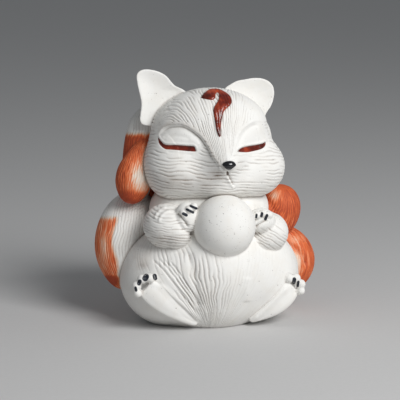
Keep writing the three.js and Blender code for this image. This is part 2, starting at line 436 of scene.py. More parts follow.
class Drawn:
    # how far each point is from one line, in millimetres; inside a closed one it is negative
    def __init__(self, spots, allowed, knots, closed=False, reach=24):
        knots = np.array(knots, float)
        line = smoothLoop(knots, 8 * len(knots) + 1) if closed else curvePoints(knots, 8 * len(knots) + 1)
        near = allowed & (spots > knots.min(0) - reach).all(1) & (spots < knots.max(0) + reach).all(1)
        self.far = np.full(len(spots), 9.0)
        self.share = np.zeros(len(spots))
        self.below = np.zeros(len(spots))
        if near.any():
            dist, share, offset, run = alongPath(spots[near], line)
            if closed:
                dist = np.where(withinLoop(spots[near], line), -dist, dist)
            self.far[near] = dist * photo["mm"]
            self.share[near] = share
            self.below[near] = np.sign(run[:, 0] * offset[:, 1] - run[:, 1] * offset[:, 0])

    def ridge(self, width):
        # one on the line, fading over the width and at both ends
        ends = ease(0, 0.12, self.share) * ease(1, 0.88, self.share)
        return np.exp(-((self.far / width) ** 2)) * ends


face = {
    "browLeft": [(157, 137.5), (159, 133.5), (161.8, 129.5), (165.5, 126.6), (170, 125), (180, 124.4), (185, 125.6),
                 (190, 128.2), (195.3, 131.8), (201.3, 136.6), (205.6, 142.7), (209.1, 148.4), (212.7, 156.3),
                 (216.3, 161.3), (219.6, 166.3), (223.6, 169.9)],
    "browRight": [(233.5, 158), (235.4, 151), (236.2, 144), (237.6, 138), (240.4, 133), (244.6, 128), (249, 124.4),
                  (253.6, 122), (258, 121.4), (262.6, 122.4)],
    "lidLeft": [(159, 139), (160.6, 133.5), (164, 128.6), (169, 126), (175, 125.4), (180, 125.2), (185, 126.6),
                (190, 129.4), (194.6, 133.4), (198.6, 138), (200.6, 142.6), (199.6, 146.4), (195.2, 147.2),
                (187, 146), (180, 145.4), (172, 145), (166, 144.8), (162, 142.6)],
    "lidRight": [(237.5, 149), (238.4, 142), (241, 135.4), (245.6, 129.6), (250.6, 126), (256, 124.8), (261, 127.4),
                 (264.4, 132), (266, 138), (265.4, 141.6), (260, 144), (253, 145.6), (246, 146.8), (241, 148.6)],
    "lidFold": [(163, 137.6), (172, 136.4), (182, 136.6), (191, 139)],
    "eyeLeft": [(158.2, 137.6), (160.5, 140.5), (164, 144), (168, 145), (175, 145), (180, 145.3), (187, 145.8),
                (193.5, 146.2), (195, 148.4), (195.5, 151.4), (190, 151.3), (185, 150.9), (178, 150.2), (170, 149.6),
                (165, 149), (161, 146), (158.8, 142.5)],
    "eyeRight": [(238.2, 151), (241, 148.2), (246, 146.6), (252, 145.6), (258, 144.6), (262, 143.6), (265.4, 142.2),
                 (265.4, 145), (263.5, 147.6), (260, 149.4), (254, 151), (248, 152.2), (243, 152.2), (239.5, 151.9)],
    "underLeft": [(166, 151.6), (174, 152.6), (184, 153.6), (193.6, 154.8)],
    "underRight": [(250, 155), (257, 154), (263, 152.2)],
    "mark": [(201.2, 97.6), (203.2, 94.3), (206.5, 91), (210.2, 88.9), (215, 88.4), (219, 88.9), (223, 90.6),
             (227, 93), (230.3, 96.3), (231.8, 100), (231.4, 103.2), (229.5, 106), (226.6, 108.6), (224, 111.5),
             (222.6, 116), (221.4, 122), (220.8, 128), (220.7, 133), (220.8, 135.6), (219.8, 137.1), (218.3, 135.6),
             (216.6, 131.5), (215.6, 126), (214.6, 120), (213.6, 114), (213.4, 110), (214.4, 106.4), (216.4, 103.2),
             (218.3, 100), (218.9, 96.5), (218.4, 93.3), (216.6, 92.6), (215.6, 94.6), (215.3, 97.6), (213.4, 99.8),
             (210, 99.9), (206, 99.2), (203, 98.6)],
    "nose": [(222.1, 164.1), (225.6, 161.6), (230.6, 160.9), (234.1, 162), (236.1, 164.9), (234.9, 166.6),
             (232, 168.8), (229.9, 170.2), (227, 169.5), (224.1, 167)],
    "mouth": [(227.6, 172.8), (227.6, 174.2)],
    "lip": [(228.4, 175), (230.4, 179.4), (232.2, 183), (233.6, 186.4)],
    "lipEdge": [(226.4, 176.4), (229, 180.6), (231.8, 184.8), (234.2, 188.6)],
    "muzzleEdge": [(218.6, 166.6), (222, 170.2), (226.4, 172.6)],
    "forehead": [(223.6, 169.9), (216.3, 161.3), (209.1, 148.4), (201.3, 136.6), (190, 128.2), (180, 124.4),
                 (170, 125), (161, 128), (150, 128), (140, 110), (140, 60), (270, 60), (275, 118), (262, 121.5),
                 (253.6, 122), (244.6, 128), (237.6, 138), (235.4, 151), (232, 160)],
}
limbs = {
    "soleLeft": [(136.5, 284), (137, 291), (141, 298.5), (150, 306.5), (165, 316.5), (180, 322), (196, 323.4),
                 (190, 316), (178, 303.6), (167, 292), (159, 284.4), (150, 281.6), (143, 281.4)],
    "soleRight": [(252, 322.6), (262, 313), (272, 303), (282, 293.4), (288, 287.8), (295, 287), (300.5, 289),
                  (297, 297), (290, 304), (282, 310.4), (272, 317.4), (262, 321.6)],
    "rimLeft": [(158.6, 283), (165, 288.4), (171, 294), (179, 301.4), (187, 308.6), (194, 315.6), (200, 322.6)],
    "rimRight": [(252, 321.6), (262, 311.6), (271, 303), (280, 294), (287.6, 286.6)],
    "creaseLeft": [(176, 212), (180, 217), (184.6, 222.4), (188.6, 228.4)],
    "creaseRight": [(254, 228.6), (259, 225), (264.6, 221.4), (267, 219.6)],
    "tuftsLeft": [
        [(154.6, 219.6), (157, 213.6), (161.6, 209.4), (166.4, 207.6)],
        [(158.6, 222.6), (161, 216.6), (165.6, 212.4), (171, 210.4)],
    ],
    "combed": [
        [(152, 259), (164, 271), (180, 292), (199.6, 316.6)],
        [(158, 258), (169, 270), (184, 290), (201, 315)],
        [(163.6, 259), (174, 271.4), (188, 291), (202.4, 314)],
        [(169.6, 261), (179, 273), (191, 291), (203, 311)],
    ],
    "valley": [(188, 251), (191, 262), (194, 277), (197.4, 297), (199.6, 309)],
    "bellyFold": [(247, 276), (246.4, 290), (247, 303)],
    "foldLower": [(281, 240), (286, 242.4), (291.6, 245.4), (297, 249.4), (302, 254.6), (305.4, 260.4), (306.6, 267)],
    "foldMiddle": [(262, 197.6), (266, 199.4), (270, 203.6), (273, 208.6), (274.4, 213)],
}
# each claw is a stroke: its two ends and its half width
claws = [
    ((135.6, 287.6), (136.2, 290.4), 1.3), ((139.8, 281.4), (138.9, 283.6), 2.0), ((146.2, 276.6), (145.2, 278.4), 2.9),
    ((154.6, 275.8), (155.2, 278.2), 2.1), ((294.4, 279.2), (293.8, 282.4), 1.9), ((298.4, 281.8), (297.6, 286), 1.3),
    ((190.6, 206.0), (196.6, 208.5), 1.25), ((187.0, 209.4), (193.0, 212.4), 1.3), ((183.4, 213.6), (186.4, 215.2), 1.5),
    ((256.2, 217.2), (256.6, 214.8), 1.2), ((261.4, 216.0), (262.0, 213.4), 1.45), ((265.4, 219.0), (267.0, 215.4), 1.5),
]

# Fur: combed strokes, with the millimetres between them, how long they run and how deep they go.

fur = {
    "forehead": dict(apart=0.75, long=3.4, deep=0.15),
    "cheeks": dict(apart=0.9, long=2.8, deep=0.14),
    "belly": dict(apart=0.95, long=4.5, deep=0.2),
    "arms": dict(apart=0.8, long=2.4, deep=0.13),
    "tails": dict(apart=0.95, long=9.0, deep=0.1),
}


def shuffled(*keys):
    # a repeatable number from 0 to 1 for whole numbers
    mixed = sum(key * factor for key, factor in zip(keys, (127.1, 311.7, 74.7)))
    return np.modf(np.abs(np.sin(mixed) * 43758.5453))[0]


def drift(u, v, seed):
    # soft unevenness from -1 to 1
    i, j = np.floor(u), np.floor(v)
    a, b = ease(0, 1, u - i), ease(0, 1, v - j)
    low = mix(shuffled(i, j, seed), shuffled(i + 1, j, seed), a)
    high = mix(shuffled(i, j + 1, seed), shuffled(i + 1, j + 1, seed), a)
    return mix(low, high, b) * 2 - 1


def combed(across, along, kind, seed):
    # stroke number, whose whole values lie at the bottom of a groove, and how strong the stroke is
    lane = across / kind["apart"]
    lane = lane + 0.7 * drift(lane * 0.17, along / 5.0, seed) + 0.24 * drift(lane * 0.5, along / 2.0, seed + 1)
    lane = lane + 0.06 * drift(lane * 1.3, along / 0.8, seed + 4)
    start = shuffled(np.round(lane), 0 * lane, seed + 2)
    strength = ease(-0.8, 0.3, drift(np.round(lane), along / kind["long"] + start * 9, seed + 3))
    return lane, strength


def groove(lane):
    return (0.5 + 0.5 * np.cos(lane * 2 * math.pi)) ** 2.2


def blob(spots, at, size):
    return np.exp(-((((spots - np.array(at)) / np.array(size)) ** 2).sum(1)))


class Surface:
    # what each point of the fox belongs to, and what is carved and painted there
    def __init__(self, points, normals, own):
        self.points, self.own = points, own
        self.spots = seen(points)
        self.facing = normals @ toCamera
        self.measure()
        self.shareOut()

    def measure(self):
        p = self.points
        self.inHead = toHead(p)
        skull = skullDistance(self.inHead)
        x, z = self.inHead[:, 0], self.inHead[:, 2]
        ear = np.full(len(p), 9.0)
        for one in head["ears"]:
            rim = smoothLoop(one["rim"], 200)
            high = (z > 0) & (skull > 0.2)
            inside = np.zeros(len(p), bool)
            inside[high] = withinLoop(np.stack([x, z], 1)[high], rim)
            near = np.full(len(p), 9.0)
            near[high] = alongPath(np.stack([x, z], 1)[high], rim)[0]
            ear = np.where(high & (inside | (near < 0.8)), 0.0, ear)
        self.ear = ear < 1
        arm = np.full(len(p), 9.0)
        for one in arms:
            arm = np.minimum(arm, eggDistance(p, **one["shoulder"]))
            arm = np.minimum(arm, alongPath(p, curvePoints(one["fore"], 20))[0] - one["girth"])
        paw = np.full(len(p), 9.0)
        for one in arms:
            paw = np.minimum(paw, eggDistance(p, **one["paw"]))
            for at in one["fingers"]:
                paw = np.minimum(paw, np.linalg.norm(p - vec(*at), axis=1) - 1.2)
        foot = np.full(len(p), 9.0)
        for one in feet:
            dist, share, offset, run = alongPath(p, curvePoints(one["path"], 20))
            foot = np.minimum(foot, dist - mix(footShape["heel"], footShape["toes"], share) * 0.9)
        self.tailShare, self.tailAngle, self.tailLong = np.zeros(len(p)), np.zeros(len(p)), np.zeros(len(p))
        self.tailOf = np.full(len(p), -1)
        tail = np.full(len(p), 9.0)
        behind = (p[:, 1] > -9) | (np.abs(p[:, 0]) > 12)
        for k, one in enumerate(tails):
            path = curvePoints([tailRoot, *one["by"]], 49)
            dist, share, offset, run = alongPath(p[behind], path)
            gap = dist - tailGirth(one, share)
            closer = np.zeros(len(p), bool)
            closer[behind] = gap < tail[behind]
            pick = closer[behind]
            away = p[behind][pick] - offset[pick]
            away = (away - vec(0, 3, 0)) * vec(1, 1, 0)
            r = run[pick] / np.linalg.norm(run[pick], axis=1)[:, None]
            away = away - r * (away * r).sum(1)[:, None]
            away /= np.maximum(np.linalg.norm(away, axis=1), 1e-6)[:, None]
            side = np.cross(r, away)
            self.tailAngle[closer] = np.arctan2((offset[pick] * side).sum(1), (offset[pick] * away).sum(1))
            self.tailShare[closer] = share[pick]
            self.tailLong[closer] = share[pick] * np.linalg.norm(np.diff(path, axis=0), axis=1).sum()
            self.tailOf[closer] = k
            tail[closer] = gap[pick]
        self.reach = {
            "head": skull,
            "body": eggsDistance(p, body["eggs"], body["soft"]),
            "ball": np.linalg.norm(p - vec(*ball["at"]), axis=1) - ball["radius"],
            "arm": arm,
            "paw": paw,
            "foot": foot,
            "tail": tail,
        }

    def shareOut(self):
        # each form's part of the skin, fading towards the creases between them
        names = list(self.reach)
        reach = np.stack([self.reach[name] for name in names])
        self.part = {}
        for i, name in enumerate(names):
            others = np.delete(reach, i, 0).min(0)
            share = ease(0.0, 0.9, others - reach[i]) * ease(1.2, 0.5, reach[i])
            self.part[name] = share if name in self.own else 0 * share
        self.beside = reach[[name not in self.own for name in names]].min(0)
        self.part["head"] = np.where(self.ear, 0, self.part["head"])

    def line(self, knots, closed, *on):
        near = [self.reach[name] < 1.4 for name in on if name in self.own]
        allowed = np.any(near, axis=0) if near else np.zeros(len(self.points), bool)
        return Drawn(self.spots, allowed & (self.facing > -0.05), knots, closed)

    def strokes(self):
        p, h = self.points, self.inHead
        lane, depth, strength = np.zeros(len(p)), np.zeros(len(p)), np.zeros(len(p))
        long = np.zeros(len(p))

        def lay(where, across, along, kind, seed, amount=1.0):
            on = where * amount > 0.01
            l, s = combed(across[on], along[on], fur[kind], seed)
            lane[on], long[on] = l, along[on]
            strength[on] = (s * (where * amount)[on])
            depth[on] = fur[kind]["deep"]

        # head: a fan up the forehead and over the crown, and level strokes round the cheeks
        fore = self.line(face["forehead"], True, "head").far
        front = ease(2.5, -1.5, h[:, 1])
        onFore = mix(1.0, ease(0.4, -0.8, fore), front * (self.facing > -0.05))
        bearing = np.arctan2(h[:, 1] + 1, h[:, 2] - 2)
        arc = (bearing + math.pi / 2) * 12
        arc = np.where(arc < -8, arc + 24 * math.pi, arc)
        fan = h[:, 0] / (np.maximum(arc, -5) + 8) ** 0.6 * 5.6
        sideways = ease(15.5, 12.5, np.abs(h[:, 0]))
        onFore = onFore * mix(1, sideways, 1 - front)
        lids = np.minimum(
            self.line(face["lidLeft"], True, "head").far, self.line(face["lidRight"], True, "head").far
        )
        eyes = np.minimum(
            self.line(face["eyeLeft"], True, "head").far, self.line(face["eyeRight"], True, "head").far
        )
        nose = self.line(face["nose"], True, "head").far
        calm = ease(0.3, 1.4, lids) * ease(0.4, 1.8, eyes) * ease(0.2, 1.0, nose)
        turn = np.arctan2(h[:, 0], -h[:, 1] + 2)
        onHead = self.part["head"]
        lay(onHead * onFore * ease(9, 1, h[:, 0] * front) ** 0.6, fan, arc, "forehead", 11)
        cheeks = onHead * (1 - onFore) * calm
        lay(cheeks, h[:, 2] + 0.5 * np.abs(turn), turn * 16, "cheeks", 23)
        # body: strokes that spread from the foot of the belly, round to the back
        low = np.maximum(p[:, 2] + 3, 1)
        around = np.arctan2(p[:, 0] + 1.9, -p[:, 1] + 2) * 17
        spread = around / low**0.75 * 10.2
        amount = 0.12 + blob(self.spots, (206, 292), (30, 46)) + 0.55 * blob(self.spots, (166, 258), (22, 14))
        amount = np.where(self.facing > 0, np.minimum(amount, 1), 0.4) * ease(math.pi * 17, 44, np.abs(around))
        lay(self.part["body"] * amount, spread, p[:, 2], "belly", 37)
        # arms: across the upper arm towards the paw
        left = p[:, 0] < 0
        across = np.where(left, p[:, 2] + 0.15 * p[:, 0], 0.55 * p[:, 0] + 0.85 * p[:, 2])
        along = np.where(left, p[:, 0] - p[:, 1], 0.85 * p[:, 0] - 0.55 * p[:, 2] - p[:, 1])
        lay(self.part["arm"], across, along, "arms", 51)
        # tails: along each tail
        girths = np.array([one["girth"] for one in tails])[self.tailOf]
        lanes = np.round(2 * math.pi * girths / fur["tails"]["apart"])
        across = self.tailAngle / (2 * math.pi) * lanes * fur["tails"]["apart"] + self.tailOf * 100
        amount = ease(math.pi, 2.7, np.abs(self.tailAngle)) * ease(0.99, 0.93, self.tailShare)
        lay(self.part["tail"] * amount, across, self.tailLong, "tails", 67)
        self.lane, self.strength, self.depth, self.long = lane, strength, depth, long
        self.foreShare = onFore
        self.lids, self.eyes, self.nose = lids, eyes, nose

    def relief(self):
        # how far the skin moves outwards, in millimetres
        self.strokes()
        rise = -self.depth * self.strength * groove(self.lane)
        browLeft = self.line(face["browLeft"], False, "head")
        browRight = self.line(face["browRight"], False, "head")
        for brow, deep, far, sharp in ((browLeft, 0.85, 2.8, 0.8), (browRight, 0.6, 3.0, 1.2)):
            ends = ease(0, 0.2, brow.share) * ease(1.0, 0.75, brow.share)
            hollow = np.exp(-brow.far / far) * ease(0, sharp, brow.far * brow.below)
            rise -= deep * ends * hollow
            rise += 0.2 * ends * np.exp(-((brow.far / 0.9) ** 2)) * (brow.below < 0)
        for name, high in (("lidLeft", 0.5), ("lidRight", 0.35)):
            lid = self.line(face[name], True, "head").far
            rise += high * (1 - (1 - np.clip(-lid / 2.4, 0, 1)) ** 2)
            rise += 0.22 * np.exp(-(((self.eyes - 0.35) / 0.35) ** 2)) * ease(0.5, 0.0, lid)
        rise -= 0.12 * self.line(face["lidFold"], False, "head").ridge(0.5)
        rise -= 0.38 * ease(0.2, -0.2, self.eyes)
        rise -= 0.15 * self.line(face["underLeft"], False, "head").ridge(0.35)
        rise -= 0.10 * self.line(face["underRight"], False, "head").ridge(0.4)
        self.mark = self.line(face["mark"], True, "head").far
        rise += 0.5 * ease(0.12, -0.3, self.mark) + 0.15 * ease(0, -1.2, self.mark)
        self.mouth = self.line(face["mouth"], False, "head").far
        rise -= 0.5 * np.exp(-((self.mouth / 0.32) ** 2))
        self.lip = self.line(face["lip"], False, "head")
        rise -= 0.4 * self.lip.ridge(0.34)
        rise += 0.28 * self.line(face["lipEdge"], False, "head").ridge(0.42)
        rise += 0.2 * self.line(face["muzzleEdge"], False, "head").ridge(0.5)
        # feet, paws and folds
        for name in ("soleLeft", "soleRight"):
            rise -= 0.35 * ease(0.3, -1.6, self.line(limbs[name], True, "foot").far)
        for name in ("rimLeft", "rimRight"):
            rise += 0.4 * self.line(limbs[name], False, "foot", "body").ridge(0.7)
        for name in ("creaseLeft", "creaseRight"):
            rise -= 0.6 * self.line(limbs[name], False, "arm", "paw").ridge(0.45)
        for knots in limbs["tuftsLeft"]:
            rise += 0.3 * self.line(knots, False, "arm").ridge(0.42)
        for knots in limbs["combed"]:
            rise -= 0.3 * self.line(knots, False, "body").ridge(0.3)
        rise -= 0.45 * self.line(limbs["valley"], False, "body").ridge(1.1)
        rise += 0.25 * self.line(limbs["bellyFold"], False, "body").ridge(1.2)
        rise -= 0.8 * self.line(limbs["foldLower"], False, "tail").ridge(0.6)
        rise -= 0.3 * self.line(limbs["foldMiddle"], False, "tail").ridge(0.8)
        self.claw = self.clawReach()
        rise += 0.12 * ease(0.2, -0.2, self.claw)
        return rise

    def clawReach(self):
        best = np.full(len(self.points), 9.0)
        allowed = (self.facing > 0) & (np.minimum(self.reach["paw"], self.reach["foot"]) < 1.5)
        for a, b, wide in claws:
            best = np.minimum(best, Drawn(self.spots, allowed, [a, b]).far - wide * photo["mm"])
        return best

    def orange(self):
        # how much orange each tail carries: 0 white, 0.5 peach, 1 deep orange; in two places it also stands for light
        # and shade
        x, y = self.spots[:, 0], self.spots[:, 1]
        s = self.tailShare
        fades = ease(0.2, 0.5, s)
        byTail = [
            # upper right tail: its orange band runs deep towards dark red-brown, orange paint darkened as painted shade
            0.95 * ease(131, 138, y) * ease(185, 160, y) + 0.7 * ease(206.5, 209.5, y),
            0.85 - 0.6 * blob(self.spots, (137, 177), (7.5, 15)) - 0.35 * blob(self.spots, (146, 176), (6, 26))
            + 0.2 * ease(188, 195, y),
            0.72 * ease(118, 112, x + 3 * np.sin(y / 9)) * ease(214, 222, y) - 0.25 * blob(self.spots, (104, 250), (4, 22))
            + 0.8 * ease(274, 280, y),
            0.5 * ease(0.9, 0.98, s),
            0.9 - 0.5 * blob(self.spots, (275, 196), (6, 6.5)) - 0.12 * blob(self.spots, (288, 221), (6, 6)),
            # lower left tail: the paler band high on it is a painted highlight
            0.82 - 0.28 * blob(self.spots, (294, 239), (9, 6)) - 0.62 * blob(self.spots, (296, 262), (6, 12)),
            fades * (0.8 - 0.5 * np.cos(self.tailAngle * 2) * ease(0.9, 0.6, s)),
            fades * (0.85 - 0.3 * np.cos(self.tailAngle * 3)),
            fades * (0.8 - 0.5 * np.cos(self.tailAngle * 2) * ease(0.9, 0.6, s)),
        ]
        amount = np.zeros(len(self.points))
        for k, one in enumerate(byTail):
            amount = np.where(self.tailOf == k, one, amount)
        return amount * ease(0.15, 0.6, self.part["tail"] + 0.3 * (self.reach["tail"] < 0.6))

    def wash(self):
        # brown over some places, besides what lies in the creases: partly a wash in the clay, partly painted shade
        # beside the muzzle, under the cheeks, along the brow crease and on the lower left, away from the light
        spots = self.spots
        front = ease(-0.2, 0.2, self.facing)
        amount = 0.6 * blob(spots, (215, 175), (8, 6)) + 0.35 * blob(spots, (170, 182), (19, 9))
        amount += 0.3 * blob(spots, (196, 184), (18, 8))
        brow = self.line(face["browLeft"], False, "head")
        amount += 0.5 * np.exp(-((brow.far / 0.9) ** 2)) * (brow.below < 0) * ease(0, 0.2, brow.share)
        amount += 0.4 * blob(spots, (143, 266), (7, 4)) + 0.35 * blob(spots, (170, 238), (18, 7))
        amount += 0.25 * blob(spots, (140, 256), (16, 12)) + 0.15 * blob(spots, (270, 240), (14, 6))
        return amount * front


def joined(meshes, name):
    bm = bmesh.new()
    for mesh in meshes:
        bm.from_mesh(mesh)
        bpy.data.meshes.remove(mesh)
    bmesh.ops.recalc_face_normals(bm, faces=bm.faces)
    whole = bpy.data.meshes.new(name)
    bm.to_mesh(whole)
    bm.free()
    piece = bpy.data.objects.new(name, whole)
    bpy.context.scene.collection.objects.link(piece)
    return piece


def settled(piece):
    # the piece's modifiers made part of its mesh
    graph = bpy.context.evaluated_depsgraph_get()
    mesh = bpy.data.meshes.new_from_object(piece.evaluated_get(graph))
    piece.modifiers.clear()
    old = piece.data
    piece.data = mesh
    bpy.data.meshes.remove(old)
    return piece


def pointsOf(mesh, what="co"):
    flat = np.empty(len(mesh.vertices) * 3)
    if what == "co":
        mesh.vertices.foreach_get("co", flat)
    else:
        mesh.vertex_normals.foreach_get("vector", flat)
    return flat.reshape(-1, 3)


def eased(mesh, values, rounds):
    # values evened out over neighbouring points
    ends = np.empty(len(mesh.edges) * 2, int)
    mesh.edges.foreach_get("vertices", ends)
    a, b = ends.reshape(-1, 2).T
    count = np.bincount(a, minlength=len(values)) + np.bincount(b, minlength=len(values))
    for _ in range(rounds):
        total = np.stack([
            np.bincount(a, column[b], len(values)) + np.bincount(b, column[a], len(values)) for column in values.T
        ], 1)
        values = mix(values, total / np.maximum(count, 1)[:, None], 0.6)
    return values


def keep(mesh, name, values):
    layer = mesh.attributes.get(name) or mesh.attributes.new(name, "FLOAT", "POINT")
    layer.data.foreach_set("value", values.astype(np.float32))


# The casting is made as three closed skins that run into one another where the figure has its
# deepest creases, so that each keeps enough faces for the strokes.
skins = [
    dict(name="foxHead", own=("head",), voxel=0.2, triangles=190000),
    dict(name="foxBody", own=("body", "ball", "arm", "paw", "foot"), voxel=0.22, triangles=190000),
    dict(name="foxTails", own=("tail",), voxel=0.27, triangles=150000),
]
relax = 3
hollowRounds = 18


def bodyMeshes():
    meshes = [filled(vec(*body["middle"]), lambda p: eggsDistance(p, body["eggs"], body["soft"]), 160, 120)]
    meshes.append(lump(ball["at"], (ball["radius"],) * 3, around=96, along=64))
    for foot in feet:
        meshes += footMeshes(foot)
    for arm in arms:
        meshes += armMeshes(arm)
    return meshes


def smoothed(mesh, rounds):
    bm = bmesh.new()
    bm.from_mesh(mesh)
    for _ in range(rounds):
        bmesh.ops.smooth_vert(bm, verts=bm.verts, factor=0.5, use_axis_x=True, use_axis_y=True, use_axis_z=True)
    bm.to_mesh(mesh)
    bm.free()


def cutAtTable(mesh):
    bm = bmesh.new()
    bm.from_mesh(mesh)
    everything = bm.verts[:] + bm.edges[:] + bm.faces[:]
    cut = bmesh.ops.bisect_plane(bm, geom=everything, plane_co=(0, 0, 0), plane_no=(0, 0, -1), clear_outer=True)
    rim = [e for e in cut["geom_cut"] if isinstance(e, bmesh.types.BMEdge)]
    if rim:
        bmesh.ops.holes_fill(bm, edges=rim, sides=0)
    bm.to_mesh(mesh)
    bm.free()


def triangleCount(mesh):
    return sum(len(face.vertices) - 2 for face in mesh.polygons)


def makeSkin(skin, meshes):
    piece = joined(meshes, skin["name"])
    remesh = piece.modifiers.new("one skin", "REMESH")
    remesh.mode = "VOXEL"
    remesh.voxel_size = skin["voxel"]
    remesh.adaptivity = 0
    mesh = settled(piece).data
    smoothed(mesh, relax)
    points, normals = pointsOf(mesh), pointsOf(mesh, "normal")
    surface = Surface(points, normals, skin["own"])
    carved = points + normals * surface.relief()[:, None]
    mesh.vertices.foreach_set("co", carved.ravel())
    mesh.update()
    # how far each point lies in a hollow, or how near it comes to another skin; the finish paints shade there
    smooth = eased(mesh, carved, hollowRounds)
    hollow = ((smooth - carved) * pointsOf(mesh, "normal")).sum(1)
    beside = np.exp(-((np.maximum(surface.beside, 0) / 0.55) ** 2))
    keep(mesh, "hollow", np.maximum(hollow, 0.2 * beside))
    cutAtTable(mesh)
    thin = piece.modifiers.new("fewer faces", "DECIMATE")
    thin.ratio = min(1, skin["triangles"] / triangleCount(mesh))
    mesh = settled(piece).data
    layPaint(mesh, Surface(pointsOf(mesh), pointsOf(mesh, "normal"), skin["own"]))
    mesh.transform(Matrix.Scale(standing["scale"], 4) @ Matrix.Translation(standing["shift"]))
    mesh.shade_smooth()
    mesh.materials.clear()
    mesh.materials.append(clay)
    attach(piece, "root")
    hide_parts("nine_tailed_fox")
    print(skin["name"], "made from", len(points), "points, now", triangleCount(mesh), "triangles")


def layPaint(mesh, surface):
    # the finish reads these from the skin
    surface.relief()
    keep(mesh, "lane", surface.lane)
    keep(mesh, "along", surface.long)
    keep(mesh, "combed", surface.strength)
    keep(mesh, "orange", surface.orange())
    keep(mesh, "wash", surface.wash())
    keep(mesh, "mark", surface.mark)
    keep(mesh, "eyes", surface.eyes)
    keep(mesh, "nose", surface.nose)
    keep(mesh, "claws", surface.claw)
    # painted shade for the carved mouth and lip line
    keep(mesh, "mouth", np.minimum(surface.mouth - 0.28, surface.lip.far + 0.1))
    keep(mesh, "ball", surface.reach["ball"])


# Finish


class Wire:
    # a value in the material; a sum of wires adds its Math nodes
    def __init__(self, finish, socket):
        self.finish, self.socket = finish, socket

    def math(self, operation, *values, clamp=False):
        return self.finish.node("Math", {"operation": operation, "use_clamp": clamp}, dict(enumerate(values)))

    def __add__(self, other):
        return self.math("ADD", self, other)

    def __sub__(self, other):
        return self.math("SUBTRACT", self, other)

    def __rsub__(self, other):
        return self.math("SUBTRACT", other, self)

    def __mul__(self, other):
        return self.math("MULTIPLY", self, other)

    def __pow__(self, other):
        return self.math("POWER", self, other)

    __radd__ = __add__
    __rmul__ = __mul__

    def most(self, other):
        return self.math("MAXIMUM", self, other)

    def held(self):
        return self.math("ADD", self, 0.0, clamp=True)

    def between(self, low, high):
        # 0 up to low, 1 from high, smooth between; low may be the greater
        return self.finish.node(
            "MapRange", {"interpolation_type": "SMOOTHSTEP"}, {"Value": self, "From Min": low, "From Max": high}
        )


class Finish:
    def __init__(self, name):
        self.material = bpy.data.materials.new(name)
        self.material.use_nodes = True
        self.tree = self.material.node_tree
        self.shader = self.tree.nodes["Principled BSDF"]

    def node(self, kind, settings=None, values=None, out=0):
        made = self.tree.nodes.new("ShaderNode" + kind)
        for key, value in (settings or {}).items():
            if key == "stops":
                ramp = made.color_ramp
                while len(ramp.elements) < len(value):
                    ramp.elements.new(0.5)
                for stop, (place, colour) in zip(ramp.elements, value):
                    stop.position, stop.color = place, (*colour, 1)
            else:
                setattr(made, key, value)
        for key, value in (values or {}).items():
            if isinstance(value, Wire):
                self.tree.links.new(value.socket, made.inputs[key])
            else:
                made.inputs[key].default_value = value
        return Wire(self, made.outputs[out])

    def layer(self, name):
        return self.node("Attribute", {"attribute_name": name}, out="Fac")

    def blend(self, amount, under, over):
        settings = {"data_type": "RGBA"}
        values = {0: amount, 6: under, 7: over}
        return self.node("Mix", settings, values, out=2)

    def set(self, **values):
        for name, value in values.items():
            self.shader.inputs[name].default_value = value

    def link(self, name, wire):
        self.tree.links.new(wire.socket, self.shader.inputs[name])


paint = {
    "clay": (0.87, 0.86, 0.83, 1),
    "clayWarm": (0.83, 0.80, 0.745, 1),
    # brown for the wash and for the painted shade
    "wash": (0.20, 0.14, 0.10, 1),
    "orange": [(0.0, (0.83, 0.80, 0.755)), (0.3, (0.82, 0.66, 0.54)), (0.52, (0.82, 0.38, 0.22)),
               (0.75, (0.76, 0.165, 0.05)), (1.0, (0.44, 0.065, 0.02))],
    "glaze": [(0.0, (0.05, 0.006, 0.003)), (0.5, (0.19, 0.018, 0.006)), (1.0, (0.42, 0.06, 0.018))],
    "black": (0.008, 0.008, 0.010, 1),
    "claw": (0.018, 0.022, 0.032, 1),
    "grain": 2600,
    "mottle": 240,
}


